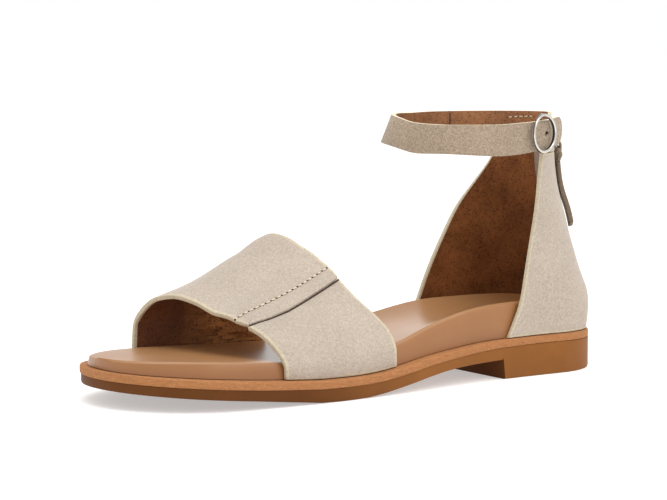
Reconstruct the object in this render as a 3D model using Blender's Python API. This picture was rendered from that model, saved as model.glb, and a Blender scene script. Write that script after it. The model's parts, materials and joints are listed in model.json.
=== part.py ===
"""Left ankle strap sandal: a flat leather sandal with a lapped front band, a closed heel with a back zip,
and a buckled ankle strap. Metres, +Z up, toe towards +X, outer side of the foot towards +Y.

Pieces are modelled in shoe coordinates, with x measured from the back of the heel, y from the heel's
middle line and z from the floor. At the end they are moved over the middle of the sole."""

import math

import bmesh
import bpy
import numpy as np
from mathutils import Matrix, Vector

mm = 0.001

# Sole
sole_length = 256.0 * mm
ball_width = 91.0 * mm
shank_lift = 9.2 * mm
toe_spring = 8.0 * mm
outsole_thickness = 5.4 * mm
welt_thickness = 3.6 * mm
welt_overhang = 0.5 * mm
heel_block_length = 65.0 * mm
edge_round = 1.0 * mm
welt_ledge = 3.8 * mm

# Footbed
footbed_rim = 16.0 * mm
footbed_edge_radius = 2.6 * mm
footbed_side_lean = 0.9 * mm

# Leather of the upper
wall = 2.2 * mm
gap = 0.3 * mm
front_rise = 30.2 * mm
instep_rise = 56.4 * mm
lap_width = 13.0 * mm
lap_ease = 10.0 * mm
quarter_top = 115.0 * mm

# Ankle loop and its strap
ankle_length = 86.8 * mm
ankle_width = 62.0 * mm
ankle_back = 17.0 * mm
strap_width = 14.2 * mm
strap_thickness = 2.2 * mm
strap_height = 109.0 * mm
strap_rise = 3.4 * mm
strap_lean = 3.0 * mm
tail_length = 8.0 * mm
tail_lift = 1.8 * mm
tail_flare = 0.6 * mm
tail_blunt = 0.2 * mm
neck_top = 101.4 * mm

# Buckle
buckle_place = 39.5 * mm
buckle_height = 111.0 * mm
buckle_inside = 15.4 * mm
buckle_outside = 17.8 * mm
buckle_depth = 1.8 * mm
buckle_corner = 0.3 * mm
bar_radius = 0.6 * mm
eye_leather = 0.8 * mm
eye_height = 12.4 * mm
eye_proud = 0.12 * mm
prong_sleeve = 0.6 * mm
prong_height = 2.4 * mm
prong_radius = 0.7 * mm
prong_tip = 0.7 * mm

# Back zip and its pull
zip_offset = 6.0 * mm
zip_opening = 7.0 * mm
zip_start = 34.0 * mm
zip_end = 114.0 * mm
tape_thickness = 0.8 * mm
chain_width = 3.8 * mm
chain_height = 1.3 * mm
facing_width = 19.0 * mm
facing_thickness = 1.0 * mm
facing_gap = 0.54 * mm
slider_place = 109.5 * mm
slider_length = 8.0 * mm
slider_plate = 0.9 * mm
slider_flange = 0.7 * mm
slider_corner = 0.25 * mm
bridge_length = 4.8 * mm
bridge_rise = 2.6 * mm
bridge_radius = 0.5 * mm
bridge_fullness = 0.7
pull_slot_width = 2.8 * mm
pull_slot_length = 4.6 * mm
pull_wire = 0.9 * mm
pull_corner = 0.3 * mm
thong_width = 3.4 * mm
thong_thickness = 1.6 * mm
thong_length = 31.5 * mm
thong_drift = 5.0 * mm
thong_loop_width = 2.1 * mm
thong_loop_thickness = 0.9 * mm
knot_width = 7.0 * mm
knot_length = 6.2 * mm
knot_depth = 4.8 * mm

# Offset that keeps faces from lying on each other, and the step used to measure a slope
join_step = 0.02 * mm
probe = 0.2 * mm

# How finely curved stretches are cut into flat faces
sole_stations = 44
band_steps_across = 8
band_steps_around = 3
cup_steps_up = 18
cup_steps_along = 18
loop_steps = 66
round_sides = 12

# Sole outline: shares of the sole's length, and of the ball's width on each side of the middle line.
outline_columns = ("along", "outer_side", "inner_side", "ledge")
outline_rows = (
    (0.00, 0.341, 0.341, 0.30),
    (0.12, 0.341, 0.341, 0.34),
    (0.24, 0.355, 0.345, 0.40),
    (0.34, 0.386, 0.342, 0.60),
    (0.44, 0.436, 0.346, 0.90),
    (0.50, 0.464, 0.362, 1.00),
    (0.58, 0.489, 0.402, 1.00),
    (0.66, 0.502, 0.448, 1.00),
    (0.73, 0.503, 0.478, 1.00),
    (0.80, 0.497, 0.494, 0.98),
    (0.88, 0.478, 0.497, 0.70),
    (1.00, 0.430, 0.500, 0.13),
)
heel_round_share = 0.121
heel_round_power = 2.05
toe_round_share = 0.19
toe_round_power = 2.15
toe_middle_share = -0.045

# Underside of the sole without its heel block, and the thickness above it. Lifts are shares of the
# shank's lift and of the toe spring.
side_columns = ("along", "shank", "spring", "thickness")
side_rows = (
    (0.00, 1.00, 0.00, 0.93),
    (0.15, 1.00, 0.00, 1.02),
    (0.26, 0.96, 0.00, 1.02),
    (0.33, 0.90, 0.00, 0.92),
    (0.38, 0.80, 0.00, 0.85),
    (0.42, 0.66, 0.00, 0.90),
    (0.46, 0.46, 0.00, 0.93),
    (0.51, 0.24, 0.00, 0.98),
    (0.55, 0.08, 0.00, 1.04),
    (0.59, 0.00, 0.00, 1.09),
    (0.65, 0.00, 0.00, 1.10),
    (0.71, 0.00, 0.17, 1.00),
    (0.80, 0.00, 0.47, 0.86),
    (0.89, 0.00, 0.72, 0.84),
    (1.00, 0.00, 1.00, 0.76),
)

# Footbed: heights above the welt, as shares of the rim's greatest height.
footbed_columns = ("along", "outer_rim", "inner_rim", "middle")
footbed_rows = (
    (0.00, 0.78, 0.74, 0.60),
    (0.10, 0.94, 0.84, 0.56),
    (0.21, 1.00, 0.87, 0.55),
    (0.28, 0.98, 0.88, 0.57),
    (0.34, 0.93, 0.84, 0.58),
    (0.41, 0.79, 0.75, 0.57),
    (0.49, 0.58, 0.63, 0.53),
    (0.58, 0.50, 0.55, 0.48),
    (0.70, 0.47, 0.48, 0.45),
    (0.80, 0.465, 0.39, 0.42),
    (0.88, 0.43, 0.31, 0.37),
    (1.00, 0.30, 0.25, 0.28),
)

# Front band: one row for each fold of its section, from the outer side over the foot to the inner side.
# Across is a share of the half width at the welt, up a share of the front or instep rise.
band_columns = ("fold", "front_across", "front_up", "rear_across", "rear_up")
band_rows = (
    (0, 1.000, 0.000, 1.000, 0.000),
    (1, 0.998, 0.165, 0.996, 0.130),
    (2, 0.932, 0.335, 0.925, 0.255),
    (3, 0.783, 0.527, 0.744, 0.386),
    (4, 0.640, 0.640, 0.474, 0.525),
    (5, 0.542, 0.683, 0.205, 0.690),
    (6, 0.337, 0.715, -0.039, 0.800),
    (7, 0.101, 0.818, -0.271, 0.916),
    (8, -0.144, 0.944, -0.477, 0.985),
    (9, -0.420, 1.000, -0.660, 1.000),
    (10, -0.660, 0.945, -0.812, 0.972),
    (11, -0.862, 0.745, -0.935, 0.815),
    (12, -0.981, 0.475, -0.985, 0.463),
    (13, -1.000, 0.000, -1.000, 0.000),
)
band_lap_fold = 5
band_front_outer = 0.733
band_front_inner = 0.848
band_rear_outer = 0.502
band_rear_inner = 0.619

# Closed heel: how far each height has leaned from the sole's outline to the ankle loop, and how far
# forward the front edges of the two quarters reach, as shares of the sole's length.
cup_columns = ("up", "lean", "outer_front", "inner_front")
cup_rows = (
    (0.00, 0.000, 0.242, 0.309),
    (0.08, -0.020, 0.226, 0.289),
    (0.16, -0.020, 0.212, 0.275),
    (0.25, 0.120, 0.204, 0.262),
    (0.36, 0.320, 0.196, 0.241),
    (0.48, 0.540, 0.186, 0.214),
    (0.57, 0.670, 0.178, 0.194),
    (0.66, 0.840, 0.169, 0.168),
    (0.73, 0.925, 0.163, 0.149),
    (0.85, 1.000, 0.152, 0.124),
    (1.00, 1.000, 0.145, 0.115),
)

# Ankle strap from its sewn end to the buckle: height of its middle line as a share of its rise, and how
# far its top edge leans in over the instep as a share of the strap's lean.
strap_columns = ("along", "rise", "lean")
strap_rows = (
    (0.00, 1.00, 0.00),
    (0.15, 1.00, 0.00),
    (0.30, 1.00, 0.25),
    (0.50, 0.70, 1.00),
    (0.70, 0.20, 0.35),
    (0.85, 0.20, 0.00),
    (1.00, 0.60, 0.00),
)


def smooth(rows, columns, name, at):
    """A column's value between its rows, on a curve that never overshoots them."""
    x = [row[0] for row in rows]
    y = [row[columns.index(name)] for row in rows]
    at = min(max(at, x[0]), x[-1])
    i = min(max(int(np.searchsorted(x, at)) - 1, 0), len(x) - 2)
    slopes = [(y[k + 1] - y[k]) / (x[k + 1] - x[k]) for k in range(len(x) - 1)]

    def tangent(k):
        if k in (0, len(x) - 1):
            return slopes[min(k, len(slopes) - 1)]
        before, after = slopes[k - 1], slopes[k]
        return 0.0 if before * after <= 0 else 2 * before * after / (before + after)

    step = x[i + 1] - x[i]
    t = (at - x[i]) / step
    rise = y[i] * (2 * t**3 - 3 * t**2 + 1) + y[i + 1] * (3 * t**2 - 2 * t**3)
    return rise + step * (tangent(i) * (t**3 - 2 * t**2 + t) + tangent(i + 1) * (t**3 - t**2))


def ease(t):
    """A smooth step from 0 to 1."""
    t = min(max(t, 0.0), 1.0)
    return t * t * (3 - 2 * t)


def rounding(x):
    """How much of its full width the sole's outline has at x."""
    heel = heel_round_share * sole_length
    toe = (1 - toe_round_share) * sole_length
    if x < heel:
        return max(1 - ((heel - x) / heel) ** heel_round_power, 0.0) ** (1 / heel_round_power)
    if x > toe:
        along = (x - toe) / (sole_length - toe)
        return max(1 - along**toe_round_power, 0.0) ** (1 / toe_round_power)
    return 1.0


def ledge(x):
    """Width of the welt's free top outside the upper, and outside the wall's line where no upper stands."""
    return welt_ledge * smooth(outline_rows, outline_columns, "ledge", x / sole_length)


def edge_y(x, side, inset):
    """The sole's edge at x, moved inwards: on the outer side (1) or the inner side (-1)."""
    start = inset(0.0)
    end = sole_length - inset(sole_length)
    x = min(max((x - start) / (end - start), 0.0), 1.0) * sole_length
    name = "outer_side" if side > 0 else "inner_side"
    half = smooth(outline_rows, outline_columns, name, x / sole_length) * ball_width - inset(x)
    toe = (1 - toe_round_share) * sole_length
    middle = toe_middle_share * ball_width * ease((x - toe) / (sole_length - toe))
    return middle + (side * half - middle) * rounding(x)


def underside_z(x):
    """Underside of the sole between its heel block and its toe."""
    shank = smooth(side_rows, side_columns, "shank", x / sole_length) * shank_lift
    return shank + smooth(side_rows, side_columns, "spring", x / sole_length) * toe_spring


def welt_top(x):
    """Top of the welt band, which everything above stands on."""
    x = min(max(x, 0.0), sole_length)
    thickness = smooth(side_rows, side_columns, "thickness", x / sole_length) * outsole_thickness
    return underside_z(x) + thickness + welt_thickness


def stations(inset, extra=()):
    """Places along the sole, closer together towards its rounded ends, with the inset edge's y there."""
    turn = [0.035 + (math.pi - 0.07) * k / sole_stations for k in range(sole_stations + 1)]
    share = [0.5 - 0.5 * math.cos(t) for t in turn]
    start = inset(0.0)
    end = sole_length - inset(sole_length)
    found = []
    for s in share:
        x = start + (end - start) * (s - share[0]) / (share[-1] - share[0])
        found.append((x, start + (end - start) * s))
    return sorted(found + [(x, x) for x in extra])


def mesh_object(name, bm, material):
    """Makes a named object of a closed mesh, with every face pointing out."""
    bmesh.ops.recalc_face_normals(bm, faces=bm.faces)
    mesh = bpy.data.meshes.new(name)
    bm.to_mesh(mesh)
    bm.free()
    mesh.shade_smooth()
    mesh.set_sharp_from_angle(angle=math.radians(35))
    mesh.materials.append(material)
    made = bpy.data.objects.new(name, mesh)
    bpy.context.scene.collection.objects.link(made)
    return made


def loft(name, rings, material, closed=False):
    """A solid through rings of points, all with the same count: closed on itself, or capped at both ends."""
    bm = bmesh.new()
    made = [[bm.verts.new(point) for point in ring] for ring in rings]
    count = len(rings[0])
    pairs = list(zip(made, made[1:])) + ([(made[-1], made[0])] if closed else [])
    for near, far in pairs:
        for k in range(count):
            bm.faces.new((near[k], near[(k + 1) % count], far[(k + 1) % count], far[k]))
    if not closed:
        bm.faces.new(reversed(made[0]))
        bm.faces.new(made[-1])
    return mesh_object(name, bm, material)


def shell(name, outer, inner, material):
    """A sheet of leather with thickness, between two grids of points of the same size."""
    rings = []
    for top, under in zip(outer, inner):
        rings.append(list(top) + list(reversed(under)))
    bm = bmesh.new()
    made = [[bm.verts.new(point) for point in ring] for ring in rings]
    count = len(rings[0])
    for near, far in zip(made, made[1:]):
        for k in range(count):
            bm.faces.new((near[k], near[(k + 1) % count], far[(k + 1) % count], far[k]))
    half = count // 2
    for end in (made[0], made[-1]):
        for k in range(half - 1):
            bm.faces.new((end[k], end[k + 1], end[count - 2 - k], end[count - 1 - k]))
    return mesh_object(name, bm, material)


def boolean(piece, cutter, operation):
    """Joins or cuts a piece with another object, which is then removed."""
    change = piece.modifiers.new(operation.lower(), "BOOLEAN")
    change.operation = operation
    change.object = cutter
    change.solver = "EXACT"
    graph = bpy.context.evaluated_depsgraph_get()
    mesh = bpy.data.meshes.new_from_object(piece.evaluated_get(graph))
    piece.modifiers.remove(change)
    piece.data = mesh
    bpy.data.objects.remove(cutter)
    return piece


def tube(name, path, radius, material, sides=round_sides):
    """A round bar along a path of points."""
    points = [Vector(point) for point in path]
    along = []
    for k in range(len(points)):
        ahead = points[min(k + 1, len(points) - 1)] - points[max(k - 1, 0)]
        along.append(ahead.normalized())
    side = along[0].orthogonal().normalized()
    rings = []
    for point, direction in zip(points, along):
        side = (side - direction * side.dot(direction)).normalized()
        other = direction.cross(side)
        turns = [2 * math.pi * k / sides for k in range(sides)]
        rings.append([point + side * radius * math.cos(t) + other * radius * math.sin(t) for t in turns])
    return loft(name, rings, material)


def material(name, colour, roughness, metallic=0.0):
    """A plain finish with a colour given as shown on a screen, from 0 to 255."""
    made = bpy.data.materials.new(name)
    made.use_nodes = True
    shader = made.node_tree.nodes["Principled BSDF"]
    linear = [((c / 255 + 0.055) / 1.055) ** 2.4 for c in colour]
    shader.inputs["Base Color"].default_value = (*linear, 1.0)
    shader.inputs["Roughness"].default_value = roughness
    shader.inputs["Metallic"].default_value = metallic
    return made


def outsole():
    """Rubber outsole with its heel block in one: flat under the heel and the ball, arched between them."""

    def inset(x):
        return welt_overhang * ease(x / heel_block_length - 0.5)

    breast = (heel_block_length, heel_block_length + edge_round)
    rings = []
    for x, wide in stations(inset, breast):
        outer = edge_y(wide, 1, inset)
        inner = edge_y(wide, -1, inset)
        low = 0.0 if x <= heel_block_length else underside_z(x)
        high = welt_top(x) - welt_thickness - gap
        curve = min(edge_round, (outer - inner) / 4)
        third = curve * (1 - math.sqrt(0.5))
        rings.append(
            [
                (x, outer, high),
                (x, (outer + inner) / 2, high),
                (x, inner, high),
                (x, inner, low + curve),
                (x, inner + third, low + third),
                (x, inner + curve, low),
                (x, outer - curve, low),
                (x, outer - third, low + third),
                (x, outer, low + curve),
            ]
        )
    return loft("outsole", rings, material("rubber", (160, 108, 62), 0.5))


def welt():
    """The band between outsole and upper, a little proud of the outsole from the shank to the toe."""

    def inset(x):
        return 0.0

    rings = []
    for x, wide in stations(inset):
        outer = edge_y(wide, 1, inset)
        inner = edge_y(wide, -1, inset)
        high = welt_top(x)
        low = high - welt_thickness
        curve = min(edge_round, (outer - inner) / 4) / 2
        rings.append(
            [
                (x, outer - curve, high),
                (x, (outer + inner) / 2, high),
                (x, inner + curve, high),
                (x, inner, high - curve),
                (x, inner, low + curve),
                (x, inner + curve, low),
                (x, outer - curve, low),
                (x, outer, low + curve),
                (x, outer, high - curve),
            ]
        )
    return loft("welt_band", rings, material("welt", (196, 134, 84), 0.7))


def footbed_inset(x):
    """From the welt's edge to the footbed's side: the ledge, and the wall that stands between them."""
    return ledge(x) + wall + gap


def footbed_top(x, share):
    """Height of the footbed's top, at a share of its half width: 1 at the outer rim, -1 at the inner rim."""
    name = "outer_rim" if share > 0 else "inner_rim"
    rim = smooth(footbed_rows, footbed_columns, name, x / sole_length)
    middle = smooth(footbed_rows, footbed_columns, "middle", x / sole_length)
    return welt_top(x) + footbed_rim * (middle + (rim - middle) * abs(share) ** 2.4)


def footbed():
    """Dished, leather-wrapped footbed with a thick rounded edge."""
    across = (1.0, 0.86, 0.68, 0.45, 0.2, 0.0, -0.2, -0.45, -0.68, -0.86, -1.0)
    rings = []
    for x, wide in stations(footbed_inset):
        outer = edge_y(wide, 1, footbed_inset)
        inner = edge_y(wide, -1, footbed_inset)
        low = welt_top(x) + gap
        curve = min(footbed_edge_radius, (outer - inner) / 6)
        third = curve * (1 - math.sqrt(0.5))
        lean = min(footbed_side_lean, curve)
        half = (outer - inner) / 2 - curve - lean
        middle = (outer + inner) / 2
        ring = [(x, outer, low), (x, outer - lean, footbed_top(x, 1) - curve)]
        ring.append((x, outer - lean - third, footbed_top(x, 1) - third))
        ring += [(x, middle + share * half, footbed_top(x, share)) for share in across]
        ring.append((x, inner + lean + third, footbed_top(x, -1) - third))
        ring += [(x, inner + lean, footbed_top(x, -1) - curve), (x, inner, low)]
        ring.append((x, middle, low))
        rings.append(ring)
    return loft("footbed", rings, material("footbed_leather", (205, 160, 120), 0.5))


def band_shares(fold, forward):
    """Across and up shares of the front band, at a fold and between its rear (0) and front (1) edges."""
    found = []
    for name in ("across", "up"):
        rear = smooth(band_rows, band_columns, "rear_" + name, fold)
        front = smooth(band_rows, band_columns, "front_" + name, fold)
        found.append(rear + (front - rear) * forward)
    return found


def band_point(fold, forward):
    """Outer face of the front band's lower layer."""
    across, up = band_shares(fold, forward)
    turned = (1 - across) / 2
    rear = band_rear_outer + (band_rear_inner - band_rear_outer) * turned
    front = band_front_outer + (band_front_inner - band_front_outer) * turned
    x = (rear + (front - rear) * forward) * sole_length
    half = abs(edge_y(x, 1 if across > 0 else -1, ledge))
    rise = instep_rise + (front_rise - instep_rise) * forward
    return Vector((x, across * half, welt_top(x) + gap + up * rise))


def band_normal(fold, forward):
    """Which way the front band's leather faces."""
    step = 0.02
    last = band_rows[-1][0]
    around = band_point(min(fold + step, last), forward) - band_point(max(fold - step, 0), forward)
    along = band_point(fold, min(forward + step, 1)) - band_point(fold, max(forward - step, 0))
    return around.cross(along).normalized()


def lap_folds():
    """Folds that the lap is wide, and that the upper layer needs to come down again."""
    middle = (band_point(band_lap_fold + 2, 0.5) - band_point(band_lap_fold, 0.5)).length / 2
    return lap_width / middle, lap_ease / middle


def band_panel(name, first, last, lift, finish):
    """One panel of the front band, from one fold to another, lifted where it lies over the other."""
    count = int(math.ceil((last - first) * band_steps_around))
    outer = []
    inner = []
    for i in range(count + 1):
        fold = first + (last - first) * i / count
        top = []
        under = []
        for j in range(band_steps_across + 1):
            forward = j / band_steps_across
            point = band_point(fold, forward)
            normal = band_normal(fold, forward)
            raised = point + normal * lift(fold)
            lowered = point + normal * (lift(fold) - wall)
            if fold in (0, band_rows[-1][0]):
                lowered.z = raised.z
            top.append(raised)
            under.append(lowered)
        outer.append(top)
        inner.append(under)
    return shell(name, outer, inner, finish)


def front_band():
    """The open-toed band: an outer panel, and an inner panel lapped over its end."""
    outer_suede = material("outer_panel_suede", (205, 190, 175), 0.95)
    inner_suede = material("inner_panel_suede", (205, 190, 175), 0.95)
    lap, slope = lap_folds()
    end = band_lap_fold + lap

    def flat(fold):
        return 0.0

    def lapped(fold):
        return (wall + gap) * (1 - ease((fold - end - 0.05) / slope))

    band_panel("front_band_outer_panel", 0, end, flat, outer_suede)
    band_panel("front_band_inner_panel", band_lap_fold, band_rows[-1][0], lapped, inner_suede)


def arc_table(points):
    """Points of a curve with how far along it each one lies."""
    steps = [0.0]
    for near, far in zip(points, points[1:]):
        steps.append(steps[-1] + math.dist(near, far))
    return np.array(steps), np.array(points)


def loop_table():
    """The ankle loop in plan, from the back round the outer side to its front."""
    half = ankle_length / 2
    turns = [math.pi * k / 360 for k in range(361)]
    middle = ankle_back + half
    return arc_table([(middle - half * math.cos(t), ankle_width / 2 * math.sin(t)) for t in turns])


def heel_table():
    """The closed heel's foot in plan, from the back along the outer or the inner side."""
    tables = {}
    for side in (1, -1):
        start = ledge(0.0)
        turns = [math.pi / 2 * k / 240 for k in range(241)]
        xs = [start + (0.62 * sole_length - start) * (1 - math.cos(t)) for t in turns]
        tables[side] = arc_table([(x, abs(edge_y(x, side, ledge))) for x in xs])
    return tables


loop_steps_along, loop_points = loop_table()
loop_half = loop_steps_along[-1]
heel_tables = heel_table()


def loop_point(s, away, z):
    """A point on the ankle loop: s runs from the back, positive on the outer side, away points outwards."""
    side = 1 if s >= 0 else -1
    reach = min(abs(s), 2 * loop_half - abs(s))
    if abs(s) > loop_half:
        side = -side
    x, y = (float(np.interp(reach, loop_steps_along, loop_points[:, k])) for k in (0, 1))
    half = ankle_length / 2
    normal = Vector(((x - ankle_back - half) / half**2, y / (ankle_width / 2) ** 2, 0)).normalized()
    return Vector(((x + normal.x * away), side * (y + normal.y * away), z))


def neck_away():
    """Where the outer face of a quarter's neck lies, inside the strap."""
    return -strap_thickness / 2 - gap


def heel_point(s, up):
    """Outer face of the closed heel, s from the back (positive on the outer side), up from 0 to 1."""
    side = 1 if s >= 0 else -1
    lengths, points = heel_tables[side]
    x, y = (float(np.interp(abs(s), lengths, points[:, k])) for k in (0, 1))
    low = Vector((x, side * y, welt_top(x) + gap))
    high = loop_point(s, neck_away(), quarter_top)
    across = low.lerp(high, smooth(cup_rows, cup_columns, "lean", up))
    return Vector((across.x, across.y, low.z + (high.z - low.z) * up))


def heel_normal(s, up):
    """Which way the closed heel faces."""
    around = heel_point(s + probe, up) - heel_point(s - probe, up)
    rising = heel_point(s, min(up + 0.01, 1)) - heel_point(s, max(up - 0.01, 0))
    return around.cross(rising).normalized() * -1


def quarter_front(side, up):
    """How far from the back the quarter's front edge lies, at a height."""
    name = "outer_front" if side > 0 else "inner_front"
    goal = smooth(cup_rows, cup_columns, name, up) * sole_length
    near, far = 0.0, sole_length / 2
    for _ in range(30):
        middle = (near + far) / 2
        if heel_point(side * middle, up).x < goal:
            near = middle
        else:
            far = middle
    return side * near


def zip_edge(side, up, z_low):
    """Edge of a quarter along the back: closed below the zip, open beside it."""
    z = z_low + (quarter_top - z_low) * up
    half = gap / 2 + (zip_opening - gap) / 2 * ease((z - zip_start) / (2 * zip_opening))
    return zip_offset + side * half


def quarter(name, side, top):
    """One side of the closed heel, from the zip to its slanted front edge, up to its neck."""
    z_low = welt_top(0.0) + gap
    outer = []
    inner = []
    for i in range(cup_steps_up + 1):
        up = i / cup_steps_up * (top - z_low) / (quarter_top - z_low)
        start = zip_edge(side, up, z_low)
        end = quarter_front(side, up)
        face = []
        lining = []
        for j in range(cup_steps_along + 1):
            s = start + (end - start) * j / cup_steps_along
            point = heel_point(s, up)
            under = point - heel_normal(s, up) * wall
            under.z = point.z
            face.append(point)
            lining.append(under)
        outer.append(face)
        inner.append(lining)
    return shell(name, outer, inner, material(name + "_suede", (205, 190, 175), 0.95))


def quarters():
    quarter("quarter_outer", 1, neck_top)
    quarter("quarter_inner", -1, quarter_top - gap)


def zip_frame(z, s=zip_offset):
    """Point on the heel's outer face at a height, with directions along the heel, outwards and up."""
    z_low = heel_point(s, 0).z
    up = (z - z_low) / (quarter_top - z_low)
    outward = heel_normal(s, up)
    along = (heel_point(s + probe, up) - heel_point(s - probe, up)).normalized()
    return heel_point(s, up), along, outward, along.cross(outward)


def strip_up_heel(name, section, low, high, steps, finish, s=zip_offset):
    """A strip that runs up the heel, with a section given as (along, outwards) points."""
    rings = []
    for k in range(steps + 1):
        z = low + (high - low) * k / steps
        z_low = heel_point(s, 0).z
        up = (z - z_low) / (quarter_top - z_low)
        ring = []
        for along, out in section:
            flat = heel_normal(s + along, up)
            ring.append(heel_point(s + along, up) + flat * out)
            ring[-1].z = z
        rings.append(ring)
    return loft(name, rings, finish)


def zip_closure():
    """Tape with its closed chain between the quarters, and the suede facing that backs it inside."""
    half = zip_opening / 2 - gap
    tape_top = -wall / 2 + tape_thickness / 2
    tape_low = tape_top - tape_thickness
    chain = chain_width / 2
    section = (
        (-half, tape_low),
        (half, tape_low),
        (half, tape_top),
        (chain, tape_top),
        (chain * 0.8, tape_top + chain_height),
        (-chain * 0.8, tape_top + chain_height),
        (-chain, tape_top),
        (-half, tape_top),
    )
    low = zip_start + 2 * zip_opening
    strip_up_heel("back_zip", section, low, zip_end, 14, material("zip", (120, 100, 80), 0.5))
    half = facing_width / 2
    face = -wall - facing_gap
    section = [(half * k / 3, face) for k in (-3, -2, -1, 0, 1, 2, 3)]
    section += [(half * k / 3, face - facing_thickness) for k in (3, 2, 1, 0, -1, -2, -3)]
    finish = material("facing_suede", (168, 150, 132), 0.95)
    strip_up_heel("zip_facing", section, zip_start, zip_end, 18, finish)


def place(piece, origin, across, outward, up):
    """Moves a piece modelled about the origin (x along, y outwards, z up) to its place."""
    turned = Matrix((across, outward, up)).transposed().to_4x4()
    piece.data.transform(Matrix.Translation(origin) @ turned)
    return piece


def block(name, low, high, finish, rounded=0.0):
    """A box between two corners, with its edges rounded off if asked."""
    bm = bmesh.new()
    bmesh.ops.create_cube(bm, size=1.0)
    for vert in bm.verts:
        for k in range(3):
            vert.co[k] = low[k] if vert.co[k] < 0 else high[k]
    if rounded:
        bmesh.ops.bevel(
            bm, geom=bm.edges[:], offset=rounded, segments=2, profile=0.5, affect="EDGES", material=-1
        )
    return mesh_object(name, bm, finish)


def slider():
    """Zip slider: a plate with two flanges beside the chain, and a bridge for the pull."""
    finish = material("zip_metal", (190, 188, 182), 0.3, 1.0)
    chain_top = -wall / 2 + tape_thickness / 2 + chain_height
    low = chain_top + gap
    high = low + slider_plate
    inside = chain_width / 2 + gap
    outside = inside + slider_flange
    end = slider_length / 2
    made = block("zip_slider", (-outside, low, -end), (outside, high, end), finish, slider_corner)
    sunk = slider_plate / 2
    foot = -wall / 2 + tape_thickness / 2 + gap
    for side in (-1, 1):
        edges = sorted((side * inside, side * outside))
        flange = block("flange", (edges[0], foot, -end * 0.8), (edges[1], high - sunk, end * 0.8), finish)
        boolean(made, flange, "UNION")
    half = bridge_length / 2
    path = [(0, high - sunk, -half)]
    for k in range(round_sides + 1):
        turn = math.pi * k / round_sides
        rise = bridge_rise * max(math.sin(turn), 0.0) ** bridge_fullness
        path.append((0, high + rise, -half * math.cos(turn)))
    path.append((0, high - sunk, half))
    boolean(made, tube("bridge", path, bridge_radius, finish), "UNION")
    origin, along, outward, up = zip_frame(slider_place)
    place(made, origin, along, outward, up)
    pivot = origin + outward * (high + bridge_rise / 2)
    return pivot, along, outward, up


def zip_pull(pivot, along, outward, up):
    """The pull: a wire frame on the slider's bridge, and a knotted thong through it."""
    finish = material("pull_metal", (190, 188, 182), 0.3, 1.0)
    wire = pull_wire / 2
    wide = pull_slot_width / 2
    low = -pull_slot_length - wire
    corner = (-wide - pull_wire, -wire, low - pull_wire)
    opposite = (wide + pull_wire, wire, wire)
    frame = block("zip_pull_tab", corner, opposite, finish, pull_corner)
    slot = block("slot", (-wide, -2 * wire, low), (wide, 2 * wire, -wire), finish)
    boolean(frame, slot, "DIFFERENCE")
    place(frame, pivot, along, outward, up)

    leather = material("thong_suede", (150, 130, 108), 0.95)
    bar = low - wire
    turn = wire * math.sqrt(2) + gap + thong_loop_thickness / 2
    reach = knot_length * 0.45
    path = [(turn, bar - reach)]
    path += [(turn * math.cos(math.pi * k / 8), bar + turn * math.sin(math.pi * k / 8)) for k in range(9)]
    path.append((-turn, bar - reach))
    rings = []
    for k, (out, z) in enumerate(path):
        ahead = path[min(k + 1, len(path) - 1)]
        behind = path[max(k - 1, 0)]
        length = math.dist(ahead, behind)
        normal = ((ahead[1] - behind[1]) / length, -(ahead[0] - behind[0]) / length)
        ring = []
        for x, t in ((-1, -1), (1, -1), (1, 1), (-1, 1)):
            away = t * thong_loop_thickness / 2
            ring.append((x * thong_loop_width / 2, out + normal[0] * away, z + normal[1] * away))
        rings.append(ring)
    thong = loft("zip_pull_thong", rings, leather)
    bm = bmesh.new()
    bmesh.ops.create_uvsphere(bm, u_segments=14, v_segments=9, radius=0.5)
    knot_middle = bar - turn - knot_length / 2
    for vert in bm.verts:
        pinch = 1 - 0.14 * math.cos(vert.co.z * 4 * math.pi) ** 2
        vert.co.x *= knot_width * pinch
        vert.co.y *= knot_depth * pinch
        vert.co.z = vert.co.z * knot_length + knot_middle
    boolean(thong, mesh_object("knot", bm, leather), "UNION")
    place(thong, pivot, along, outward, up)

    start = pivot + up * (knot_middle - knot_length * 0.25)
    rings = []
    steps = 12
    rest_away = (start - zip_frame(start.z)[0]).dot(zip_frame(start.z)[2])
    lying = chain_height + gap + thong_thickness / 2
    for k in range(steps + 1):
        t = k / steps
        s = zip_offset + thong_drift * ease(t)
        away = lying + (rest_away - lying) * (1 - ease(t * 2.2))
        z = start.z - thong_length * t
        point, side, out, rise = zip_frame(z, s)
        middle = point + out * away
        cut = thong_width * 0.3 if k == steps else 0.0
        ring = []
        for x, y in ((-1, -1), (1, -1), (1, 1), (-1, 1)):
            corner = middle + side * x * thong_width / 2 + out * y * thong_thickness / 2
            ring.append(corner + rise * x * cut)
        rings.append(ring)
    boolean(thong, loft("tail", rings, leather), "UNION")
    return frame, thong


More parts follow.
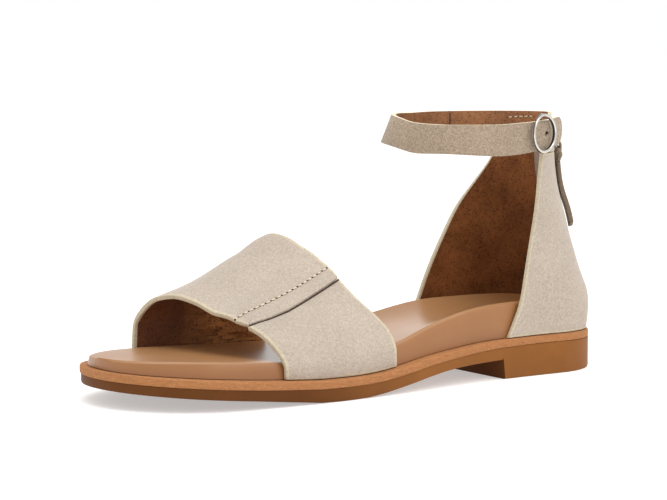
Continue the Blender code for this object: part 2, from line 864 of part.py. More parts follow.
def collar_tab():
    """Strip on top of the outer neck, from the zip to the buckle, folded round the buckle's bar."""
    finish = material("tab_suede", (200, 184, 168), 0.95)
    outer = neck_away()
    inner = outer - wall
    start = zip_offset + zip_opening / 2
    rings = []
    steps = 10
    low = neck_top + gap
    high = quarter_top + gap
    eye_low = buckle_height - eye_height / 2
    eye_high = buckle_height + eye_height / 2
    for k in range(steps + 1):
        s = start + (buckle_place - start) * k / steps
        narrow = ease((s - buckle_place + 2 * buckle_inside / 3) / (buckle_inside / 3))
        z_low = low + (eye_low - low) * narrow
        z_high = high + (eye_high - high) * narrow
        corners = ((inner, z_low), (outer, z_low), (outer, z_high), (inner, z_high))
        rings.append([loop_point(s, away, z) for away, z in corners])
    made = loft("collar_tab", rings, finish)
    origin, along, outward = buckle_frame()
    eye_radius = bar_radius + gap + eye_leather
    eye = cylinder("eye", eye_radius, eye_height - join_step, finish)
    place(eye, origin + outward * bar_away(), along, outward, Vector((0, 0, 1)))
    boolean(made, eye, "UNION")
    hole = cylinder("hole", bar_radius + gap, 2 * eye_height, finish)
    place(hole, origin + outward * bar_away(), along, outward, Vector((0, 0, 1)))
    boolean(made, hole, "DIFFERENCE")
    half = prong_height / 2 + gap
    reach = 2 * eye_radius
    slot = block("slot", (-reach, -bar_radius, -half), (reach, 2 * reach, half), finish)
    place(slot, origin + outward * (bar_away() - eye_radius), along, outward, Vector((0, 0, 1)))
    boolean(made, slot, "DIFFERENCE")


def cylinder(name, radius, depth, finish):
    """An upright round bar about the origin."""
    bm = bmesh.new()
    bmesh.ops.create_cone(
        bm, cap_ends=True, segments=2 * round_sides, radius1=radius, radius2=radius, depth=depth
    )
    return mesh_object(name, bm, finish)


def buckle_frame():
    """Middle of the buckle on the ankle loop, with directions forward along the loop and outwards."""
    origin = loop_point(buckle_place, 0, buckle_height)
    outward = (loop_point(buckle_place, mm, buckle_height) - origin).normalized()
    return origin, outward.cross(Vector((0, 0, 1))), outward


def bar_away():
    """How far out from the loop the middle of the buckle's bar lies: the eye is level inside with the neck."""
    return neck_away() - wall + eye_leather + gap + bar_radius - eye_proud


def strap_away_at_buckle():
    """How far out the strap's middle line lies where it crosses the folded tab."""
    return bar_away() + bar_radius + gap + eye_leather + gap + strap_thickness / 2


def buckle():
    """Round flat ring in front of the strap, with a bar that passes behind it, and the prong on the bar."""
    metal = material("silver", (205, 204, 200), 0.25, 1.0)
    origin, along, outward = buckle_frame()
    near = strap_away_at_buckle() + strap_thickness / 2 + gap
    far = near + buckle_depth
    inside = buckle_inside / 2
    outside = buckle_outside / 2
    soft = buckle_corner
    profile = (
        (inside, near + soft),
        (inside + soft, near),
        (outside - soft, near),
        (outside, near + soft),
        (outside, far - soft),
        (outside - soft, far),
        (inside + soft, far),
        (inside, far - soft),
    )
    rings = []
    turns = 4 * round_sides
    for k in range(turns):
        turn = 2 * math.pi * k / turns
        rings.append([(r * math.cos(turn), away, r * math.sin(turn)) for r, away in profile])
    ring = loft("buckle_ring", rings, metal, closed=True)
    middle = (inside + outside) / 2
    back = bar_away()
    reach = (near + far) / 2
    bend = middle - 2 * bar_radius
    half = [
        (reach, middle),
        (back + 1.6 * bar_radius, middle),
        (back + 0.5 * bar_radius, middle - 0.5 * bar_radius),
        (back, bend),
    ]
    path = [(0, away, z) for away, z in half] + [(0, away, -z) for away, z in reversed(half)]
    boolean(ring, tube("bar", path, bar_radius, metal), "UNION")
    place(ring, origin, along, outward, Vector((0, 0, 1)))

    sleeve = bar_radius + gap + prong_sleeve
    prong = cylinder("buckle_prong", sleeve, prong_height, metal)
    place(prong, Vector((0, back, 0)), Vector((1, 0, 0)), Vector((0, 1, 0)), Vector((0, 0, 1)))
    tip = strap_away_at_buckle() + strap_thickness / 2 + prong_tip
    start = back + bar_radius + gap + prong_sleeve / 2
    pin = tube("pin", [(0, start, 0), (0, tip - prong_radius / 2, 0), (0, tip, 0)], prong_radius, metal)
    boolean(prong, pin, "UNION")
    bore = cylinder("bore", bar_radius + gap, 2 * prong_height, metal)
    place(bore, Vector((0, back, 0)), Vector((1, 0, 0)), Vector((0, 1, 0)), Vector((0, 0, 1)))
    boolean(prong, bore, "DIFFERENCE")
    place(prong, origin, along, outward, Vector((0, 0, 1)))


def ankle_strap():
    """The strap: sewn to the inner neck, round the front of the ankle, through the buckle to its short tail."""
    finish = material("strap_suede", (205, 190, 175), 0.95)
    start = zip_offset - zip_opening / 2
    to_buckle = start + 2 * loop_half - buckle_place
    total = to_buckle + buckle_outside / 2 + tail_length
    rings = []
    round_end = strap_width / 2
    places = [total * k / loop_steps for k in range(loop_steps + 1)]
    places = [r for r in places if r < total - round_end]
    places += [total - round_end * (1 - math.sin(math.pi / 2 * k / 6)) for k in range(6)]
    places.append(total - join_step)
    for r in places:
        rise = smooth(strap_rows, strap_columns, "rise", r / to_buckle) * strap_rise
        past = max(r - to_buckle, 0.0) / (total - to_buckle)
        middle = strap_height + rise + tail_lift * ease(past)
        lift = strap_away_at_buckle() * ease(1 - (to_buckle - buckle_outside / 2 - r) / strap_width)
        away = lift + tail_flare * past**2
        cut = max(r - (total - round_end), 0.0) / round_end
        half = strap_width / 2 * math.sqrt(max(1 - cut**2, 0.0)) + tail_blunt * cut
        ring = []
        lean = smooth(strap_rows, strap_columns, "lean", r / to_buckle) * strap_lean
        for out, z in ((-1, -1), (1, -1), (1, 1), (-1, 1)):
            over = away - lean * (0.4 + z / 2) + out * strap_thickness / 2
            ring.append(loop_point(start - r, over, middle + z * half))
        rings.append(ring)
    made = loft("ankle_strap", rings, finish)
    origin, along, outward = buckle_frame()
    hole = cylinder("hole", prong_radius + gap, 4 * strap_thickness, finish)
    place(hole, origin + outward * strap_away_at_buckle(), along, Vector((0, 0, -1)), outward)
    boolean(made, hole, "DIFFERENCE")


def outline_middle():
    """Middle of the welt's greatest width, which the sandal is centred on."""
    xs = [sole_length * k / 200 for k in range(201)]
    widest = [[edge_y(x, side, lambda at: 0.0) for x in xs] for side in (1, -1)]
    return (max(widest[0]) + min(widest[1])) / 2


def build():
    for old in list(bpy.data.objects):
        bpy.data.objects.remove(old)
    outsole()
    welt()
    footbed()
    front_band()
    quarters()
    zip_closure()
    pivot, along, outward, up = slider()
    pull_pieces = zip_pull(pivot, along, outward, up)
    collar_tab()
    buckle()
    ankle_strap()
    pieces = list(bpy.data.objects)
    sandal = bpy.data.objects.new("sandal", None)
    bpy.context.scene.collection.objects.link(sandal)
    sandal.location = (-sole_length / 2, -outline_middle(), 0)
    hinge = bpy.data.objects.new("zip_pull_hinge", None)
    bpy.context.scene.collection.objects.link(hinge)
    hinge.parent = sandal
    hinge.location = pivot
    for piece in pieces:
        piece.parent = sandal
    for piece in pull_pieces:
        piece.data.transform(Matrix.Translation(-pivot))
        piece.parent = hinge


build()
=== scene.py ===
# Looks of the left ankle strap sandal: suede, linings, stitches, zip teeth and studio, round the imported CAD.

import json
import math

import bmesh
import bpy
from mathutils import Matrix, Vector, noise
from mathutils.bvhtree import BVHTree

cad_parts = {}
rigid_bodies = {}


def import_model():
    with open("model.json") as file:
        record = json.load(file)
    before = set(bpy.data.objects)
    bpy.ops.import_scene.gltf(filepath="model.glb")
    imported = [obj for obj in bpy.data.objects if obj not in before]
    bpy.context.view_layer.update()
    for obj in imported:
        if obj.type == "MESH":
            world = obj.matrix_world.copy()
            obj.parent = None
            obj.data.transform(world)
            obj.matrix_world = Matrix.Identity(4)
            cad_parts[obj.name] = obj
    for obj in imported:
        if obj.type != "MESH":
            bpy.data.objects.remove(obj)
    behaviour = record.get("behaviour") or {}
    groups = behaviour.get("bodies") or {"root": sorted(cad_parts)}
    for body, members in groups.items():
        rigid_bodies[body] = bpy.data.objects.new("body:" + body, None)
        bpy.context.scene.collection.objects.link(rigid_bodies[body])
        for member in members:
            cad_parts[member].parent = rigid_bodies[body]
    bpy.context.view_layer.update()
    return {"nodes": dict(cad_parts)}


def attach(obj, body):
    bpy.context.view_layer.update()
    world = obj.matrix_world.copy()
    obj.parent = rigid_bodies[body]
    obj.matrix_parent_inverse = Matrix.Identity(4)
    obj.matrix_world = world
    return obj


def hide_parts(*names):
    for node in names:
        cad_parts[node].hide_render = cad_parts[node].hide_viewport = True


mm = 0.001
upwards = Vector((0, 0, 1))

for old in list(bpy.data.objects):
    bpy.data.objects.remove(old)
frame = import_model()
print("stage: frame loaded")


# a colour as a screen shows it, from 0 to 255, in linear light with alpha
def linear(colour):
    return (*[((c / 255 + 0.055) / 1.055) ** 2.4 for c in colour], 1.0)


# short ways to add and join the nodes of a material or a node group
class Shader:
    def __init__(self, tree):
        self.tree = tree

    def put(self, socket, value):
        if isinstance(value, bpy.types.NodeSocket):
            self.tree.links.new(value, socket)
        else:
            socket.default_value = value

    def add(self, kind, settings=None, **values):
        node = self.tree.nodes.new("ShaderNode" + kind)
        for key, value in (settings or {}).items():
            setattr(node, key, value)
        for key, value in values.items():
            self.put(node.inputs[key], value)
        return node

    def math(self, operation, a, b=0.0):
        node = self.add("Math", {"operation": operation})
        self.put(node.inputs[0], a)
        self.put(node.inputs[1], b)
        return node.outputs[0]

    def times(self, a, b):
        return self.math("MULTIPLY", a, b)

    def mix(self, share, a, b, blend="MIX"):
        node = self.add("Mix", {"data_type": "RGBA", "blend_type": blend})
        self.put(node.inputs[0], share)
        self.put(node.inputs[6], a)
        self.put(node.inputs[7], b)
        return node.outputs[2]

    def tint(self, colour, tint):
        return self.mix(1.0, colour, (*tint, 1), "MULTIPLY")

    def noise(self, place, scale, detail=3.0, rough=0.5):
        return self.add("TexNoise", Vector=place, Scale=scale, Detail=detail, Roughness=rough).outputs["Fac"]

    # 0 at low, 1 at high, smooth between
    def ramp(self, value, low, high):
        node = self.add("MapRange", {"interpolation_type": "SMOOTHSTEP"})
        for socket, number in zip(node.inputs, (value, low, high)):
            self.put(socket, number)
        return node.outputs[0]

    def patches(self, place, scale, detail=3.0, rough=0.5, low=0.3, high=0.7):
        return self.ramp(self.noise(place, scale, detail, rough), low, high)

    def stretched(self, place, scale):
        return self.add("Mapping", Vector=place, Scale=scale).outputs[0]

    # the attribute of painted light and shade, a share per point
    def side(self):
        return self.add("Attribute", {"attribute_name": "side"}).outputs["Fac"]


# a node group with a Colour and any strengths going in, and a Colour and a Height coming out
def effect(name, fill, *strengths):
    tree = bpy.data.node_groups.new(name, "ShaderNodeTree")
    tree.interface.new_socket("Colour", in_out="INPUT", socket_type="NodeSocketColor")
    for strength in strengths:
        tree.interface.new_socket(strength, in_out="INPUT", socket_type="NodeSocketFloat")
    tree.interface.new_socket("Colour", in_out="OUTPUT", socket_type="NodeSocketColor")
    tree.interface.new_socket("Height", in_out="OUTPUT", socket_type="NodeSocketFloat")
    shader = Shader(tree)
    entry = tree.nodes.new("NodeGroupInput").outputs
    place = shader.add("TexCoord").outputs["Object"]
    colour, height = fill(shader, place, entry[0], *entry[1 : 1 + len(strengths)])
    out = tree.nodes.new("NodeGroupOutput")
    shader.put(out.inputs[0], colour)
    shader.put(out.inputs[1], height)
    return tree


# a noise is given by its scale, detail and roughness, and patches also by where they start and are full
suedeGrain = {
    "broad": (45, 2),
    "broadTint": (0.93, 0.925, 0.92),
    "patch": (700, 3, 0.6),
    "patchTint": (0.9, 0.89, 0.88),
    "patchHeight": 0.7,
    "fibre": (1450, 2, 0.8),
    "fleckRange": (0.62, 0.36),
    "fleckTint": (0.64, 0.627, 0.614),
}


def suedeNap(s, place, source, fleck):
    grain = suedeGrain
    broad = s.patches(place, *grain["broad"])
    patch = s.patches(place, *grain["patch"])
    fibre = s.noise(place, *grain["fibre"])
    colour = s.mix(broad, s.tint(source, grain["broadTint"]), source)
    colour = s.mix(patch, s.tint(colour, grain["patchTint"]), colour)
    speck = s.times(s.ramp(fibre, *grain["fleckRange"]), fleck)
    colour = s.mix(speck, colour, s.tint(colour, grain["fleckTint"]))
    return colour, s.math("ADD", fibre, s.times(patch, grain["patchHeight"]))


liningGrain = {
    "poreScale": 760,
    "poreSpread": 0.85,
    "poreRange": (0.42, 0.14),
    "poreTint": (0.24, 0.19, 0.16),
    "poreShare": 0.85,
    "thin": (260, 2, 0.5, 0.34, 0.56),
    "cloud": (60, 4, 0.65, 0.32, 0.68),
    "cloudTint": (0.66, 0.6, 0.54),
    "rub": (700, 4, 0.7),
    "rubTint": (0.72, 0.68, 0.62),
    "rubHeight": 0.6,
}


def liningPores(s, place, source):
    grain = liningGrain
    dots = s.add("TexVoronoi", Vector=place, Scale=grain["poreScale"], Randomness=grain["poreSpread"])
    thin = s.patches(place, *grain["thin"])
    pore = s.times(s.ramp(dots.outputs["Distance"], *grain["poreRange"]), thin)
    cloud = s.patches(place, *grain["cloud"])
    rub = s.patches(place, *grain["rub"])
    colour = s.mix(cloud, s.tint(source, grain["cloudTint"]), source)
    colour = s.mix(rub, s.tint(colour, grain["rubTint"]), colour)
    colour = s.mix(s.times(pore, grain["poreShare"]), colour, s.tint(colour, grain["poreTint"]))
    return colour, s.math("SUBTRACT", s.times(rub, grain["rubHeight"]), pore)


# painted shade in the lining's folds: stretch, fold noise, line width, darkening and its share
foldShadeLook = {
    "stretch": (0.3, 0.3, 1.8),
    "fold": (200, 2),
    "width": 0.045,
    "tint": (0.3, 0.24, 0.2),
    "share": 0.75,
}


# the same lining with painted shade in thin fold lines where the side attribute is high
def poresWithFoldShade(s, place, source):
    grain = foldShadeLook
    colour, height = liningPores(s, place, source)
    fold = s.noise(s.stretched(place, grain["stretch"]), *grain["fold"])
    # each thin fold line is darkened as painted shade and sunk a little by the bump
    crease = s.ramp(s.math("ABSOLUTE", s.math("SUBTRACT", fold, 0.5)), grain["width"], 0.0)
    crease = s.times(crease, s.side())
    colour = s.mix(s.times(crease, grain["share"]), colour, s.tint(colour, grain["tint"]))
    return colour, s.math("SUBTRACT", height, crease)


leatherGrain = {
    "cellScale": 900,
    "cellHeight": 0.5,
    "swell": (350, 3),
    "swellHeight": 0.6,
    "cloud": (40, 3),
    "cloudTint": (0.93, 0.92, 0.91),
}


def smoothGrain(s, place, source):
    grain = leatherGrain
    cells = s.add("TexVoronoi", Vector=place, Scale=grain["cellScale"]).outputs["Distance"]
    swell = s.noise(place, *grain["swell"])
    cloud = s.patches(place, *grain["cloud"])
    colour = s.mix(cloud, s.tint(source, grain["cloudTint"]), source)
    return colour, s.math("ADD", s.times(cells, grain["cellHeight"]), s.times(swell, grain["swellHeight"]))


boardGrain = {
    "stretch": (0.35, 0.35, 2.2),
    "fibre": (900, 4, 0.7),
    "fibreRange": (0.35, 0.65),
    "fibreTint": (0.8, 0.76, 0.72),
    "speck": (1300, 2, 0.6, 0.56, 0.72),
    "speckColour": (0.72, 0.4, 0.2, 1),
    "speckShare": 0.3,
    "pit": (520, 3, 0.6, 0.36, 0.26),
    "pitTint": (0.5, 0.42, 0.36),
    "pitShare": 0.6,
}


def fibreBoard(s, place, source):
    grain = boardGrain
    along = s.stretched(place, grain["stretch"])
    fibre = s.noise(along, *grain["fibre"])
    speck = s.patches(place, *grain["speck"])
    pit = s.times(s.patches(along, *grain["pit"]), grain["pitShare"])
    colour = s.mix(s.ramp(fibre, *grain["fibreRange"]), s.tint(source, grain["fibreTint"]), source)
    colour = s.mix(s.times(speck, grain["speckShare"]), colour, grain["speckColour"])
    colour = s.mix(pit, colour, s.tint(colour, grain["pitTint"]))
    return colour, s.math("SUBTRACT", fibre, pit)


rubberGrain = {
    "cloud": (70, 4, 0.6),
    "cloudTint": (0.9, 0.88, 0.86),
    "scuffStretch": (0.3, 0.3, 1.6),
    "scuff": (700, 3),
    "treadScale": 70,
    "treadRange": (0.2, 0.35),
    "treadHeight": 5,
    "downRange": (-0.7, -0.95),
}


def rubberSkin(s, place, source):
    grain = rubberGrain
    cloud = s.patches(place, *grain["cloud"])
    scuff = s.noise(s.stretched(place, grain["scuffStretch"]), *grain["scuff"])
    colour = s.mix(cloud, s.tint(source, grain["cloudTint"]), source)
    # the tread's ribs show only on faces that look down
    normal = s.add("NewGeometry").outputs["Normal"]
    down = s.ramp(s.add("SeparateXYZ", Vector=normal).outputs["Z"], *grain["downRange"])
    wave = s.add("TexWave", {"bands_direction": "X"}, Vector=place, Scale=grain["treadScale"]).outputs["Fac"]
    rib = s.times(down, s.ramp(wave, *grain["treadRange"]))
    return colour, s.math("ADD", scuff, s.times(rib, grain["treadHeight"]))


groups = {
    "suede": effect("suedeNap", suedeNap, "Fleck"),
    "lining": effect("liningPores", liningPores),
    "foldedLining": effect("poresWithFoldShade", poresWithFoldShade),
    "grain": effect("smoothGrain", smoothGrain),
    "board": effect("fibreBoard", fibreBoard),
    "rubber": effect("rubberSkin", rubberSkin),
}


# a finish from a dictionary: colour, group, bump, its depth in mm, roughness and other Principled inputs
def material(name, look):
    made = bpy.data.materials.new(name)
    made.use_nodes = True
    s = Shader(made.node_tree)
    skin = made.node_tree.nodes["Principled BSDF"]
    skin.inputs["Roughness"].default_value = look["roughness"]
    for key, value in look.get("more", {}).items():
        skin.inputs[key].default_value = value
    colour = linear(look["colour"])
    # a second colour, mixed in by the side attribute, is painted light or shade
    if "paintedShadingColour" in look:
        colour = s.mix(s.side(), colour, linear(look["paintedShadingColour"]))
    if "group" in look:
        group = s.add("Group", {"node_tree": groups[look["group"]]}, Colour=colour)
        for key, value in look.get("strengths", {}).items():
            group.inputs[key].default_value = value
        s.put(skin.inputs["Base Color"], group.outputs["Colour"])
        bump = s.add("Bump", Strength=look["bump"], Distance=look["depth"] * mm)
        s.put(bump.inputs["Height"], group.outputs["Height"])
        s.put(skin.inputs["Normal"], bump.outputs[0])
    else:
        skin.inputs["Base Color"].default_value = colour
    return made


suedeLook = {
    "colour": (190, 177, 163),
    "group": "suede",
    "strengths": {"Fleck": 0.56},
    "roughness": 0.95,
    "bump": 0.5,
    "depth": 0.25,
    "more": {"Sheen Weight": 0.25, "Sheen Roughness": 0.4, "Specular IOR Level": 0.15},
}
strapLook = {"colour": (178, 160, 139), "strengths": {"Fleck": 1.0}, "bump": 1.0}
liningLook = {"colour": (136, 84, 44), "group": "lining", "roughness": 0.75, "bump": 0.35, "depth": 0.2}
# the band's lining turns lighter toward its open rear, painted light, and has painted shade in its folds
bandLightAndShade = {"colour": (120, 68, 30), "paintedShadingColour": (206, 142, 80), "group": "foldedLining"}
# the footbed's second colour is painted shade, down its rim and toward the heel
footbedLook = {
    "colour": (161, 117, 77),
    "paintedShadingColour": (152, 104, 63),
    "group": "grain",
    "roughness": 0.34,
    "bump": 0.2,
    "depth": 0.1,
    "more": {"Specular IOR Level": 0.45},
}
# the outsole's second colour is painted shade, darker toward its undercut toe
rubberLook = {
    "colour": (136, 86, 40),
    "paintedShadingColour": (96, 55, 20),
    "group": "rubber",
    "roughness": 0.55,
    "bump": 0.25,
    "depth": 0.12,
    "more": {"Specular IOR Level": 0.12},
}
boardLook = {"colour": (168, 112, 64), "group": "board", "roughness": 0.85, "bump": 0.7, "depth": 0.3}
tapeLook = {"colour": (120, 100, 80), "group": "grain", "roughness": 0.9, "bump": 0.5, "depth": 0.2}
# a darker copy of the rubber: painted shade on the heel's front face
shadedBreastLook = {"colour": (84, 46, 16), "roughness": 0.7, "more": {"Specular IOR Level": 0.1}}
metal = {"Metallic": 1.0}

suede = material("suede", suedeLook)
# a darker copy of the suede: painted shade on the zip facing inside the back seam
shadedFacingSuede = material("shadedFacingSuede", {**suedeLook, "colour": (150, 134, 118)})
strapSuede = material("strapSuede", {**suedeLook, **strapLook})
thongSuede = material("thongSuede", {**suedeLook, "colour": (132, 116, 98)})
cutEdge = material("cutEdge", {**suedeLook, "colour": (204, 192, 168)})
strapEdge = material("strapEdge", {"colour": (220, 205, 177), "roughness": 0.9})
lining = material("lining", {**liningLook, "more": {"Specular IOR Level": 0.2}})
# the band's lining, with painted light toward its rear and painted shade in its folds
litShadedBandLining = material("litShadedBandLining", {**liningLook, **bandLightAndShade})
strapLining = material("strapLining", {**liningLook, "colour": (156, 104, 62)})
footbedLeather = material("footbedLeather", footbedLook)
board = material("board", boardLook)
rubber = material("rubber", rubberLook)
shadedBreastRubber = material("shadedBreastRubber", shadedBreastLook)
# a dark prong: painted shade where it sits in the strap's hole
shadedProngMetal = material("shadedProngMetal", {"colour": (52, 42, 34), "roughness": 0.5, "more": {"Metallic": 0.6}})
silver = material("silver", {"colour": (206, 203, 198), "roughness": 0.16, "more": metal})
# darker metal for the ring's sides: painted shade
shadedRingSides = material("shadedRingSides", {"colour": (104, 96, 88), "roughness": 0.3, "more": metal})
zipMetal = material("zipMetal", {"colour": (196, 194, 188), "roughness": 0.28, "more": metal})
tape = material("tape", tapeLook)
thread = material("thread", {"colour": (214, 198, 172), "roughness": 0.8})
# painted shade for needle holes and the gaps of joints
paintedGapShade = material("paintedGapShade", {"colour": (60, 44, 32), "roughness": 1.0})
print("stage: materials made")

sheetAngle = math.radians(42)  # edges of a sheet sharper than this are its cut edges
solidAngle = math.radians(30)
joining = {"merge": 0.002 * mm, "faceAngle": 0.4, "shapeAngle": 1.2}


# the CAD node's mesh, joined up, with its four-sided faces whole again
def copyNode(name):
    bm = bmesh.new()
    bm.from_mesh(frame["nodes"][name].data)
    bmesh.ops.remove_doubles(bm, verts=bm.verts[:], dist=joining["merge"])
    bmesh.ops.join_triangles(
        bm,
        faces=bm.faces[:],
        angle_face_threshold=joining["faceAngle"],
        angle_shape_threshold=joining["shapeAngle"],
    )
    return bm


# groups of faces that meet more gently than the angle, the largest first
def smoothRegions(bm, angle):
    left = set(bm.faces)
    found = []
    while left:
        group = [left.pop()]
        for face in group:
            for edge in face.edges:
                if len(edge.link_faces) == 2 and edge.calc_face_angle(math.pi) < angle:
                    near = [other for other in edge.link_faces if other in left]
                    left.difference_update(near)
                    group.extend(near)
        found.append(group)
    return sorted(found, key=lambda group: -sum(face.calc_area() for face in group))


# numbers a sheet's faces: 0 for its outside, 1 for its lining and 2 for its cut edges
def markSheet(bm, middle):
    found = smoothRegions(bm, sheetAngle)
    for face in bm.faces:
        face.material_index = 2
    for group in found[:2]:
        outward = 0.0
        for face in group:
            place = face.calc_center_median()
            outward += face.calc_area() * face.normal.dot((place - middle(place)).normalized())
        for face in group:
            face.material_index = 0 if outward > 0 else 1


# rounds off every edge that is sharper than the angle
def soften(bm, offset, angle, number=-1):
    sharp = []
    for edge in bm.edges:
        if len(edge.link_faces) == 2 and edge.calc_face_angle(0.0) > angle:
            sharp.append(edge)
    bmesh.ops.bevel(
        bm,
        geom=sharp,
        offset=offset,
        segments=2,
        profile=0.5,
        affect="EDGES",
        material=number,
        clamp_overlap=True,
    )


# the same mesh with Catmull-Clark steps applied
def subdivided(bm, levels):
    mesh = bpy.data.meshes.new("cage")
    bm.to_mesh(mesh)
    bm.free()
    cage = bpy.data.objects.new("cage", mesh)
    bpy.context.scene.collection.objects.link(cage)
    step = cage.modifiers.new("steps", "SUBSURF")
    step.levels = levels
    step.render_levels = levels
    graph = bpy.context.evaluated_depsgraph_get()
    bm = bmesh.new()
    bm.from_mesh(bpy.data.meshes.new_from_object(cage.evaluated_get(graph)))
    bpy.data.objects.remove(cage)
    return bm


# makes a shown piece of a mesh that is already in place, riding on a CAD body
def addPiece(name, bm, materials, body, slot=None, node=None):
    mesh = bpy.data.meshes.new(name)
    bm.to_mesh(mesh)
    bm.free()
    mesh.shade_smooth()
    for finish in materials:
        mesh.materials.append(finish)
    piece = bpy.data.objects.new(name, mesh)
    bpy.context.scene.collection.objects.link(piece)
    if node:
        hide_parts(node)
    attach(piece, body)
    return piece


# where the foot's middle lies inside the band, and inside the heel and strap
def bandMiddle(place):
    return Vector((place.x, -3 * mm, 15 * mm))


def ankleMiddle(place):
    return Vector((-67.6 * mm, 0.0, place.z))


# a search tree of the faces that carry one number
def treeOf(bm, number):
    bm.verts.index_update()
    faces = [[vert.index for vert in face.verts] for face in bm.faces if face.material_index == number]
    return BVHTree.FromPolygons([vert.co.copy() for vert in bm.verts], faces)


# 0 up to the start, then rising evenly to 1 over the length
def slope(value, start, length):
    return min(max((value - start) / length, 0.0), 1.0)


# 1 on a line, falling smoothly to 0 at its reach
def hump(way, reach):
    share = min(way / reach, 1.0)
    return (1 - share * share) ** 2


# shortest way from a point to a line of points, and how far along the line its foot lies
def distance(point, line):
    best = (1.0, 0.0)
    passed = 0.0
    for near, far in zip(line, line[1:]):
        step = far - near
        share = slope((point - near).dot(step), 0.0, step.length_squared)
        best = min(best, ((point - near - step * share).length, passed + step.length * share))
        passed += step.length
    return best


# points at an even pitch along a line of points
def resample(line, pitch):
    found = []
    left = 0.0
    for near, far in zip(line, line[1:]):
        length = (far - near).length
        while left <= length:
            found.append(near.lerp(far, left / length))
            left += pitch
        left -= length
    return found


# moves a sheet's points out of its surface: change(point) gives the move and the share of thickness kept
def reshape(bm, change):
    inside = treeOf(bm, 1)
    outside = treeOf(bm, 0)
    moves = []
    for vert in bm.verts:
        move, kept = change(vert.co)
        if not move and kept == 1:
            continue
        floor = inside.find_nearest(vert.co)[0]
        normal = outside.find_nearest(vert.co)[1]
        moves.append((vert, floor + (vert.co - floor) * kept + normal * move))
    for vert, place in moves:
        vert.co = place


# a field of moves from rows in mm: middle x, y, z, direction x, y, z, half length, half width, height
def creaseField(rows):
    ready = []
    for x, y, z, dx, dy, dz, long, wide, height in rows:
        middle = Vector((x, y, z)) * mm
        ready.append((middle, Vector((dx, dy, dz)).normalized(), long * mm, wide * mm, height * mm))

    def field(point):
        total = 0.0
        for middle, direction, long, wide, height in ready:
            along = (point - middle).dot(direction)
            if abs(along) < long:
                across = (point - middle - direction * along).length
                total += height * hump(abs(along), long) * hump(across, wide)
        return total

    return field


# presses a square corner of a sheet into a round one
def roundCorner(bm, corner, edgeA, edgeB, radius):
    tiny = 1e-9
    for vert in bm.verts:
        way = vert.co - corner
        alongA = way.dot(edgeA)
        alongB = way.dot(edgeB)
        if way.length > 2 * radius or alongA > radius or alongB > radius or way.length < tiny:
            continue
        shortA, shortB = max(radius - alongA, 0.0), max(radius - alongB, 0.0)
        length = math.hypot(shortA, shortB)
        if length < tiny:
            continue
        square = length / max(shortA, shortB)
        vert.co += edgeA * (shortA - shortA / square) + edgeB * (shortB - shortB / square)


# a leather sheet with its outside, lining and cut edge; rim and shape change it before and after the steps
def sheetPiece(
    name, node, middle, edge, levels, slot="suede", skin=suede, under=lining, shape=None, rim=None
):
    bm = copyNode(node)
    markSheet(bm, middle)
    soften(bm, edge, sheetAngle, 2)
    if rim:
        rim(bm)
    if levels:
        bm = subdivided(bm, levels)
    if shape:
        shape(bm)
    return addPiece(name, bm, [skin, under, cutEdge, skin], "sandal", slot, node)


# points in mm, from the toe edge to the rear edge
stitchPoints = (
    (70.6, 16.4, 35.0),
    (62.8, 14.4, 37.5),
    (54.7, 13.2, 39.8),
    (46.4, 11.8, 42.2),
    (38.0, 10.4, 44.8),
    (29.4, 8.6, 47.9),
    (20.2, 6.3, 51.4),
    (15.0, 5.0, 53.2),
)
lapPoints = (
    (66.4, 21.6, 33.0),
    (54.8, 20.6, 34.7),
    (44.7, 18.6, 37.0),
    (33.6, 15.3, 40.5),
    (24.1, 12.4, 43.8),
    (11.5, 8.9, 48.6),
)
stitchLine = [Vector(point) * mm for point in stitchPoints]
lapLine = [Vector(point) * mm for point in lapPoints]

